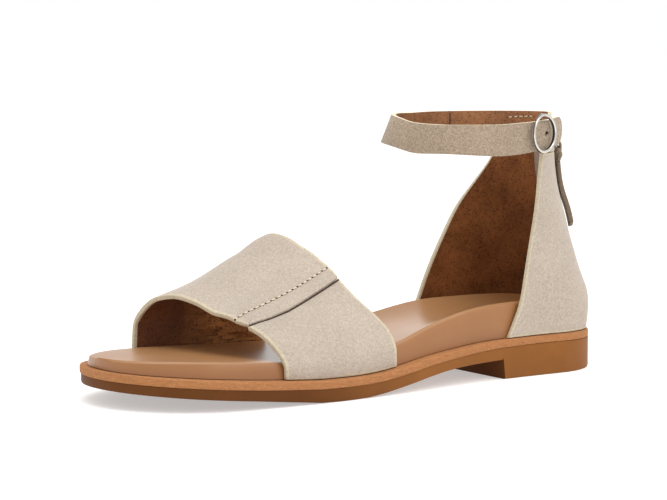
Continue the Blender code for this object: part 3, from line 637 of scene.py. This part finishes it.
band = {
    "edge": 0.5 * mm,
    "levels": 3,
    # the inner panel thins toward its lap, with a slight pillow behind the fold
    "lapWidth": 7.5 * mm,
    "lapKept": 0.22,
    "pillow": 0.1 * mm,
    "pillowFrom": 4.2 * mm,
    "pillowWidth": 3.4 * mm,
    "lapOut": (0.2, 0.5, 0.84),
    "slideReach": 9.0 * mm,
    "foldReach": 3.5 * mm,
    "foldOuter": 0.3,
    "foldAhead": 0.6,
    "cornerRadius": 2.2 * mm,
    "cornerEdge": (-0.2, -0.93, 0.3),
    # the stitches sink in a seam and pucker it
    "pitch": 3.25 * mm,
    "seamDepth": 0.42 * mm,
    "seamWidth": 2.2 * mm,
    "pucker": 0.16 * mm,
    "puckerWidth": 6.0 * mm,
    # the outer panel's front end hides under the lap
    "tuck": 3.0 * mm,
    "tuckReach": 7.0 * mm,
    "tuckEdge": 2.0 * mm,
    # start and length of each slope
    "reachBack": 7.0 * mm,
    "reachInner": (20 * mm, 15 * mm),
    "reachRear": (-80 * mm, 34 * mm),
    "reachLow": (-42 * mm, 16 * mm),
    "wrinkle": 2.2 * mm,
    "wrinkleScale": (70, 60, 420),
    "wrinkleInner": (22 * mm, 8 * mm),
    "wrinkleRear": (-66 * mm, 14 * mm),
    "creases": (
        (31, -23, 61.8, 0.9, -0.2, -0.35, 14, 11, 1.9),
        (66, -29, 49, 0.9, 0.05, -0.42, 24, 12, -1.5),
        (30, -1, 53, 0.9, 0.3, -0.3, 14, 7, 0.45),
        (37, 2, 49.5, 0.95, 0.1, -0.25, 15, 3.5, -0.35),
        (60, 6, 40, 0.6, 0.75, -0.2, 13, 5, 0.45),
        (64, 9, 38.5, 0.5, 0.85, 0.0, 9, 2.5, -0.35),
        (45, -24, 48, 0.35, 0.9, 0.3, 17, 6, 0.35),
        (58, -18, 45, 0.4, 0.9, 0.2, 15, 4, -0.3),
    ),
    "outerCreases": (
        (50, 33, 24, 0.85, 0.3, -0.3, 16, 8, 0.4),
        (22, 30, 32, 0.6, 0.5, -0.6, 14, 5, -0.35),
        (10, 36, 24, 0.3, 0.4, -0.85, 12, 4, 0.3),
    ),
}


def innerPanelShape(bm):
    creases = creaseField(band["creases"])

    def change(point):
        move = creases(point)
        seamWay, seamAlong = distance(point, stitchLine)
        move -= band["seamDepth"] * hump(seamWay, band["seamWidth"])
        wave = math.cos(2 * math.pi * seamAlong / band["pitch"])
        move += band["pucker"] * wave * hump(seamWay, band["puckerWidth"])
        lapWay = distance(point, lapLine)[0]
        move += band["pillow"] * hump(abs(lapWay - band["pillowFrom"]), band["pillowWidth"])
        return move, 1 - (1 - band["lapKept"]) * hump(lapWay, band["lapWidth"])

    reshape(bm, change)
    slideLap(bm)
    reachBack(bm)
    wrinkleLining(bm)
    lapEdge = (lapLine[-2] - lapLine[-1]).normalized()
    roundCorner(bm, lapLine[-1], lapEdge, Vector(band["cornerEdge"]).normalized(), band["cornerRadius"])


# slides the lap's edge along the panel under it, to the curve it has in the photo
def slideLap(bm):
    folded = [face.calc_center_median() for face in bm.faces if face.material_index == 3]
    folded.sort(key=lambda place: place.x)
    size = max(len(folded) // 10, 1)
    edge = []
    for start in range(0, len(folded) - size + 1, size):
        part = folded[start : start + size]
        edge.append(sum(part, Vector()) / len(part))
    edge = resample([folded[0], *edge, folded[-1]], 1 * mm)
    target = resample(lapLine, 1 * mm) + [lapLine[-1]]
    out = Vector(band["lapOut"])
    for vert in bm.verts:
        near = min(edge, key=lambda place: (place - vert.co).length)
        share = hump((near - vert.co).length, band["slideReach"])
        if not share:
            continue
        move = min(target, key=lambda place: (place - near).length) - near
        move -= out * min(move.dot(out), 0.0)
        vert.co += move * share


# lets the inner side run a little further back low down, where the photo shows lining through the toe
def reachBack(bm):
    for vert in bm.verts:
        inner = slope(-vert.co.y, *band["reachInner"])
        rear = slope(-vert.co.x, *band["reachRear"])
        low = slope(-vert.co.z, *band["reachLow"])
        vert.co.x -= band["reachBack"] * inner * rear * low


# fine folds in the lining on the inner side
def wrinkleLining(bm):
    scale = Vector(band["wrinkleScale"])
    for vert in bm.verts:
        if {face.material_index for face in vert.link_faces} != {1}:
            continue
        inner = slope(-vert.co.y, *band["wrinkleInner"])
        rear = slope(-vert.co.x, *band["wrinkleRear"])
        vert.co.y += abs(noise.noise(vert.co * scale)) * band["wrinkle"] * inner * rear


def outerPanelShape(bm):
    creases = creaseField(band["outerCreases"])
    reshape(bm, lambda point: (creases(point), 1))
    ahead = (lapLine[0] - lapLine[1]).normalized()
    for vert in bm.verts:
        way = vert.co - lapLine[0]
        hidden = slope(-way.y, 0.0, band["tuckEdge"])
        near = slope(way.dot(ahead), -band["tuckReach"], band["tuckReach"])
        vert.co -= ahead * band["tuck"] * hidden * near


# the lap's edge is folded, so it shows suede and not a cut
def lapRim(bm):
    for face in bm.faces:
        if face.material_index != 2 or distance(face.calc_center_median(), lapLine)[0] > band["foldReach"]:
            continue
        if face.normal.y > band["foldOuter"] and abs(face.normal.x) < band["foldAhead"]:
            face.material_index = 3


outerPanel = sheetPiece(
    "outerPanel", "front_band_outer_panel", bandMiddle, band["edge"], band["levels"], shape=outerPanelShape
)
innerPanel = sheetPiece(
    "innerPanel",
    "front_band_inner_panel",
    bandMiddle,
    band["edge"],
    band["levels"],
    under=litShadedBandLining,
    shape=innerPanelShape,
    rim=lapRim,
)


# where the points of a line land on a piece, with the direction outwards there
def landOn(piece, line, pitch):
    faces = [list(face.vertices) for face in piece.data.polygons]
    tree = BVHTree.FromPolygons([vert.co.copy() for vert in piece.data.vertices], faces)
    return [tree.find_nearest(point)[:2] for point in resample(line, pitch)]


# a place with its own three directions, for the create operators
def spot(place, across, along, up):
    return Matrix.Translation(place) @ Matrix((across, along, up)).transposed().to_4x4()


# a small rounded bar: size gives its half length, half width and half height
def addBead(bm, place, along, up, size, number=0):
    side = up.cross(along).normalized()
    along = side.cross(up).normalized()
    matrix = spot(place, along * size[0], side * size[1], up.normalized() * size[2])
    made = bmesh.ops.create_uvsphere(bm, u_segments=10, v_segments=8, radius=1.0, matrix=matrix)
    for face in {face for vert in made["verts"] for face in vert.link_faces}:
        face.material_index = number


# threads laid along a line on a piece, each between two needle holes shown as dark beads of painted shade
def stitchRow(name, line, piece, look):
    holes = landOn(piece, line, look["pitch"])
    rowWay = (holes[-1][0] - holes[0][0]).normalized()
    bm = bmesh.new()
    for place, up in holes:
        addBead(bm, place, rowWay, up, (look["hole"], look["hole"], look["holeDepth"]), 1)
    for (near, nearUp), (far, farUp) in zip(holes, holes[1:]):
        up = (nearUp + farUp).normalized()
        middle = (near + far) / 2 + up * look["rise"]
        half = (far - near).length / 2 * look["share"]
        addBead(bm, middle, far - near, up, (half, look["thread"], look["thread"] * look["flat"]))
    return addPiece(name, bm, [thread, paintedGapShade], "sandal")


bandSeam = {
    "pitch": band["pitch"],
    "hole": 0.52 * mm,
    "holeDepth": 0.12 * mm,
    "rise": 0.12 * mm,
    "share": 0.68,
    "thread": 0.36 * mm,
    "flat": 0.8,
}
stitchRow("bandStitches", stitchLine, innerPanel, bandSeam)


joint = {"pitch": 1.2 * mm, "sides": 8, "flat": 0.5}


# a thin dark tube laid on a piece, for the shadowed joint between two leathers
def groove(name, line, piece, radius):
    found = landOn(piece, line, joint["pitch"])
    bm = bmesh.new()
    rings = []
    for k, (place, up) in enumerate(found):
        ahead = found[min(k + 1, len(found) - 1)][0] - found[max(k - 1, 0)][0]
        side = up.cross(ahead).normalized()
        matrix = spot(place, side, up * joint["flat"], ahead.normalized())
        made = bmesh.ops.create_circle(bm, segments=joint["sides"], radius=radius, matrix=matrix)
        rings.append(list({edge for vert in made["verts"] for edge in vert.link_edges}))
    for near, far in zip(rings, rings[1:]):
        bmesh.ops.bridge_loops(bm, edges=near + far)
    bmesh.ops.edgeloop_fill(bm, edges=rings[0] + rings[-1])
    bmesh.ops.recalc_face_normals(bm, faces=bm.faces[:])
    return addPiece(name, bm, [paintedGapShade], "sandal")


lapShadow = {"offset": Vector((0, 0.4, -0.1)) * mm, "radius": 0.38 * mm}
groove("lapShadow", [point + lapShadow["offset"] for point in lapLine], outerPanel, lapShadow["radius"])
print("stage: front band")

cup = {
    "edge": 0.4 * mm,
    "levels": 2,
    # the inner quarter's top is pressed down, from this height up, by this share
    "topFrom": 106 * mm,
    "lowTop": 0.4,
    "facingEdge": 0.25 * mm,
    "facingEnd": 1.5 * mm,
    "facingReach": 8 * mm,
    "innerCreases": (
        (-98.8, -19, 86, 0, 0, 1, 15, 4, -0.5),
        (-102.5, -15, 90, 0.1, 0, 1, 13, 3.5, -0.5),
        (-92, -25, 68, 0.3, 0, 1, 14, 6, 0.35),
    ),
    "outerCreases": (
        (-121, 17, 30, 0, 0, 1, 20, 17, 1.1),
        (-100, 26, 48, 0.4, 0, 1, 18, 8, 0.35),
        (-88, 31, 36, 0.5, 0.1, 0.8, 14, 6, -0.3),
    ),
}


def creased(key):
    field = creaseField(cup[key])

    def shape(bm):
        reshape(bm, lambda point: (field(point), 1))
        for vert in bm.verts:
            if vert.co.y < 0:
                vert.co.z -= cup["lowTop"] * max(vert.co.z - cup["topFrom"], 0.0)

    return shape


# the facing's lower end goes down behind the footbed, so that no light shows through the back seam
def reachDown(bm):
    foot = min(vert.co.z for vert in bm.verts)
    for vert in bm.verts:
        if vert.co.z < foot + cup["facingEnd"]:
            vert.co.z -= cup["facingReach"]


for name, node, key in (
    ("outerQuarter", "quarter_outer", "outerCreases"),
    ("innerQuarter", "quarter_inner", "innerCreases"),
):
    sheetPiece(name, node, ankleMiddle, cup["edge"], cup["levels"], shape=creased(key))
sheetPiece(
    "zipFacing",
    "zip_facing",
    ankleMiddle,
    cup["facingEdge"],
    0,
    "facing_suede",
    shadedFacingSuede,
    shadedFacingSuede,
    shape=reachDown,
)
print("stage: closed heel")

strapShape = {
    "edge": 0.7 * mm,
    "tabEdge": 0.2 * mm,
    "toward": (0.834, -0.552, 0.0),
    "reach": 15 * mm,
    "height": 111 * mm,
    "half": 7 * mm,
    "raise": 2.8 * mm,
    "topRaise": 1.3 * mm,
    "tip": 1.0 * mm,
    "sag": 1.4 * mm,
    "sagOuter": 20 * mm,
    "sagMiddle": -62 * mm,
    "sagReach": 30 * mm,
}


# the strap's front end rises at its lower edge, and the strap hangs a little lower on the outer side
def leanStrap(bm):
    toward = Vector(strapShape["toward"])
    end = max(vert.co.dot(toward) for vert in bm.verts)
    for vert in bm.verts:
        share = hump(end - vert.co.dot(toward), strapShape["reach"])
        up = min(max((vert.co.z - strapShape["height"]) / strapShape["half"], -1.0), 1.0)
        top, foot = (1 + up) / 2, (1 - up) / 2
        vert.co += toward * share * strapShape["tip"] * (foot - top)
        outer = slope(vert.co.y, 0.0, strapShape["sagOuter"])
        sagging = top + foot * hump(abs(vert.co.x - strapShape["sagMiddle"]), strapShape["sagReach"])
        vert.co.z += share * (strapShape["raise"] * foot + strapShape["topRaise"] * top)
        vert.co.z -= outer * strapShape["sag"] * sagging


strap = sheetPiece(
    "ankleStrap",
    "ankle_strap",
    ankleMiddle,
    strapShape["edge"],
    0,
    skin=strapSuede,
    under=strapLining,
    shape=leanStrap,
)
strap.data.materials[2] = strapEdge
sheetPiece("collarTab", "collar_tab", ankleMiddle, strapShape["tabEdge"], 0)

inStrap = {
    "seam": ((-75.6, -29.4, 119.4), (-75.7, -29.4, 116.0), (-75.8, -29.5, 106.0)),
    "seamRadius": 0.35 * mm,
    "row": ((-101.5, -18.3, 116.4), (-105.1, -14.1, 116.8), (-107.6, -10.2, 117.0), (-109.3, -6.4, 117.0)),
    "look": {
        "pitch": 2.6 * mm,
        "hole": 0.3 * mm,
        "holeDepth": 0.12 * mm,
        "rise": 0.08 * mm,
        "share": 0.7,
        "thread": 0.26 * mm,
        "flat": 0.8,
    },
}
groove("strapLiningSeam", [Vector(point) * mm for point in inStrap["seam"]], strap, inStrap["seamRadius"])
stitchRow("strapEndStitches", [Vector(point) * mm for point in inStrap["row"]], strap, inStrap["look"])
print("stage: ankle strap")


def solidPiece(name, node, finish, edge, slot, body="sandal", levels=0, shape=None):
    bm = copyNode(node)
    soften(bm, edge, solidAngle)
    if levels:
        bm = subdivided(bm, levels)
    if shape:
        shape(bm)
    return addPiece(name, bm, [finish], body, slot, node)


# "facing" is how far a face must look up, ahead or away to count
outsole = {
    "edge": 0.3 * mm,
    "weltGap": 0.3 * mm,
    "topFacing": 0.5,
    "breastFacing": 0.7,
    "breastBehind": -20 * mm,
}
thong = {"fuller": 0.45 * mm, "away": (-0.965, 0.263, 0.0), "awayFacing": -0.3}
ring = {
    "outward": (-0.36, 0.933, 0.0),
    "ahead": (0.933, 0.36, 0.0),
    "thick": 1.8 * mm,
    "blend": 1.0 * mm,
    "forward": 4.5 * mm,
    "stand": 0.08,
    "crownFacing": 0.66,
}


# lifts the outsole's top edge across the glue line under the welt, and marks the heel's front for the darker
# rubber, painted shade
def closeToWelt(bm):
    for vert in bm.verts:
        if any(face.normal.z > outsole["topFacing"] for face in vert.link_faces):
            vert.co.z += outsole["weltGap"]
    for face in bm.faces:
        ahead = face.normal.x > outsole["breastFacing"]
        if ahead and face.calc_center_median().x < outsole["breastBehind"]:
            face.material_index = 1


# makes the thong as full as it is in the photo, without reaching the heel behind it
def fatten(bm):
    bm.normal_update()
    away = Vector(thong["away"])
    for vert in bm.verts:
        if vert.normal.dot(away) > thong["awayFacing"]:
            vert.co += vert.normal * thong["fuller"]


# the ring lies a little further forward on the strap than its bar, and its heel side stands off
def setRing(bm):
    outward = Vector(ring["outward"]).normalized()
    ahead = Vector(ring["ahead"]).normalized()
    plane = max(vert.co.dot(outward) for vert in bm.verts) - ring["thick"]
    middle = sum((vert.co for vert in bm.verts), Vector()) / len(bm.verts)
    bm.normal_update()
    for face in bm.faces:
        # faces that do not look outward take the darker metal, painted shade on the ring's sides
        if face.normal.dot(outward) < ring["crownFacing"]:
            face.material_index = 1
    for vert in bm.verts:
        front = slope(vert.co.dot(outward), plane - ring["blend"], ring["blend"])
        heel = max(-(vert.co - middle).dot(ahead), 0.0)
        vert.co += front * (ahead * ring["forward"] + outward * heel * ring["stand"])


# piece: CAD node, finish, edge rounding, slot, body and change of shape
plain = {
    "weltBand": ("welt_band", board, 0.25 * mm, "welt", "sandal", None),
    "zipTape": ("back_zip", tape, 0.1 * mm, "zip_tape", "sandal", None),
    "zipSlider": ("zip_slider", zipMetal, 0.08 * mm, "zip_metal", "sandal", None),
    "zipTab": ("zip_pull_tab", zipMetal, 0.08 * mm, "zip_metal", "zip_pull", None),
    "thong": ("zip_pull_thong", thongSuede, 0.15 * mm, "thong_suede", "zip_pull", fatten),
    "ring": ("buckle_ring", silver, 0.08 * mm, "silver", "sandal", setRing),
    "prong": ("buckle_prong", shadedProngMetal, 0.08 * mm, "silver", "sandal", None),
}
sole = solidPiece("sole", "outsole", rubber, outsole["edge"], "rubber", shape=closeToWelt)
sole.data.materials.append(shadedBreastRubber)
for name, (node, finish, edge, slot, body, shape) in plain.items():
    made = solidPiece(name, node, finish, edge, slot, body, shape=shape)
    if name == "ring":
        made.data.materials.append(shadedRingSides)


# how much of its material's second colour, painted light or shade, each point of a piece shows
def paintShading(piece, share):
    attribute = piece.data.attributes.new("side", "FLOAT", "POINT")
    for vert, value in zip(piece.data.vertices, attribute.data):
        value.value = share(vert)


footbed = {"edge": 0.2 * mm, "levels": 2}
insole = solidPiece(
    "insole", "footbed", footbedLeather, footbed["edge"], "footbed_leather", levels=footbed["levels"]
)

# start and length of each slope to the second colour, painted light or shade: lighter toward the heel on the
# band's lining, darker toward the heel and down the rim on the footbed, darker toward the toe on the outsole
sides = {
    "lining": (-66 * mm, 16 * mm),
    "footbedShadeTowardHeel": (84 * mm, 20 * mm),
    "footbedShadeOnRim": (-0.85, 0.5),
    "rubber": (-10 * mm, 60 * mm),
}


# painted shade on the footbed: darker down its rim and toward the heel
def footbedPaintedShade(vert):
    return max(slope(-vert.normal.z, *sides["footbedShadeOnRim"]), slope(-vert.co.x, *sides["footbedShadeTowardHeel"]))


# painted light on the band's lining toward its rear, painted shade on the footbed and on the outsole's toe
paintShading(innerPanel, lambda vert: slope(-vert.co.x, *sides["lining"]))
paintShading(insole, footbedPaintedShade)
paintShading(sole, lambda vert: slope(vert.co.x, *sides["rubber"]))

teeth = {
    "pitch": 1.3 * mm,
    "length": 1.9 * mm,
    "width": 0.75 * mm,
    "height": 0.8 * mm,
    "aside": 0.55 * mm,
    "lift": 0.02 * mm,
    "edge": 0.12 * mm,
}


# the top of the zip's chain from bottom to top: its middle and the direction across
def zipRows():
    rows = {}
    bm = copyNode("back_zip")
    for vert in bm.verts:
        rows.setdefault(round(vert.co.z / mm, 1), []).append(vert.co.copy())
    bm.free()
    found = []
    for height in sorted(rows):
        centre = ankleMiddle(rows[height][0])
        top = sorted(rows[height], key=lambda place: -(place - centre).length)[:2]
        across = (top[1] - top[0]).normalized()
        if across.y < 0:
            across.negate()
        found.append(((top[0] + top[1]) / 2, across))
    return found


# metal teeth, left and right in turn, standing on the chain
def zipTeeth():
    rows = zipRows()
    line = resample([place for place, across in rows], teeth["pitch"] / 2)
    bm = bmesh.new()
    for k, point in enumerate(line[2:-2]):
        across = min(rows, key=lambda row: (row[0] - point).length)[1]
        out = across.cross(upwards)
        if out.x > 0:
            out.negate()
        aside = teeth["aside"] if k % 2 else -teeth["aside"]
        place = point + across * aside + out * teeth["lift"]
        matrix = spot(place, across * teeth["length"], upwards * teeth["width"], out * teeth["height"])
        bmesh.ops.create_cube(bm, size=1.0, matrix=matrix)
    bmesh.ops.bevel(
        bm, geom=bm.edges[:], offset=teeth["edge"], segments=1, profile=0.5, affect="EDGES", material=-1
    )
    bmesh.ops.recalc_face_normals(bm, faces=bm.faces[:])
    addPiece("zipTeeth", bm, [zipMetal], "sandal")


zipTeeth()
print("stage: sole, zip and buckle")

# the camera was fitted to the sole's length and the outline
studio = {
    "target": Vector((-0.003, -0.000375, 0.045)),
    "azimuth": math.radians(33.48),
    "elevation": math.radians(6.18),
    "distance": 1.03088,
    "lens": 123.95,
    "sensor": 36,
    "shift": (-0.0332, 0.0482),
    "clip": (0.01, 50),
    "sky": 1.0,
    "floorHalf": 6.0,
    "paper": (220, 218, 216),
    "glow": 0.42,
    # place, aim, width and height, watts
    "lights": {
        "keyLight": ((-0.5, 1.1, 1.1), (0, 0, 0.05), (0.9, 0.9), 5),
        "topLight": ((0.1, 0.1, 1.6), (0, 0, 0), (1.2, 1.2), 12),
        "backLight": ((-0.8, -1.0, 0.34), (0.03, 0, 0.02), (0.5, 0.4), 0.6),
    },
}


def makeCamera():
    turn, tilt = studio["azimuth"], studio["elevation"]
    back = Vector((math.sin(turn) * math.cos(tilt), math.cos(turn) * math.cos(tilt), math.sin(tilt)))
    data = bpy.data.cameras.new("camera")
    data.lens = studio["lens"]
    data.sensor_width = studio["sensor"]
    data.shift_x, data.shift_y = studio["shift"]
    data.clip_start, data.clip_end = studio["clip"]
    camera = bpy.data.objects.new("camera", data)
    camera.location = studio["target"] + back * studio["distance"]
    camera.rotation_mode = "QUATERNION"
    camera.rotation_quaternion = (-back).to_track_quat("-Z", "Y")
    bpy.context.scene.collection.objects.link(camera)
    bpy.context.scene.camera = camera


def softbox(name, place, aim, size, watts):
    data = bpy.data.lights.new(name, "AREA")
    data.shape = "RECTANGLE"
    data.size, data.size_y = size
    data.energy = watts
    light = bpy.data.objects.new(name, data)
    light.location = place
    light.rotation_mode = "QUATERNION"
    light.rotation_quaternion = (Vector(aim) - Vector(place)).to_track_quat("-Z", "Y")
    bpy.context.scene.collection.objects.link(light)


# white floor under a white sky and soft lights
def makeStudio():
    bm = bmesh.new()
    bmesh.ops.create_grid(bm, x_segments=1, y_segments=1, size=studio["floorHalf"])
    mesh = bpy.data.meshes.new("floor")
    bm.to_mesh(mesh)
    bm.free()
    floor = bpy.data.objects.new("floor", mesh)
    bpy.context.scene.collection.objects.link(floor)
    white = (1.0, 1.0, 1.0, 1.0)
    glow = {"Emission Color": white, "Emission Strength": studio["glow"], "Specular IOR Level": 0.1}
    mesh.materials.append(material("paper", {"colour": studio["paper"], "roughness": 0.9, "more": glow}))
    world = bpy.data.worlds.new("sky")
    bpy.context.scene.world = world
    world.use_nodes = True
    sky = world.node_tree.nodes["Background"]
    sky.inputs["Color"].default_value = white
    sky.inputs["Strength"].default_value = studio["sky"]
    for name, values in studio["lights"].items():
        softbox(name, *values)


makeCamera()
makeStudio()
bpy.context.scene.view_settings.view_transform = "Standard"
print("stage: studio")
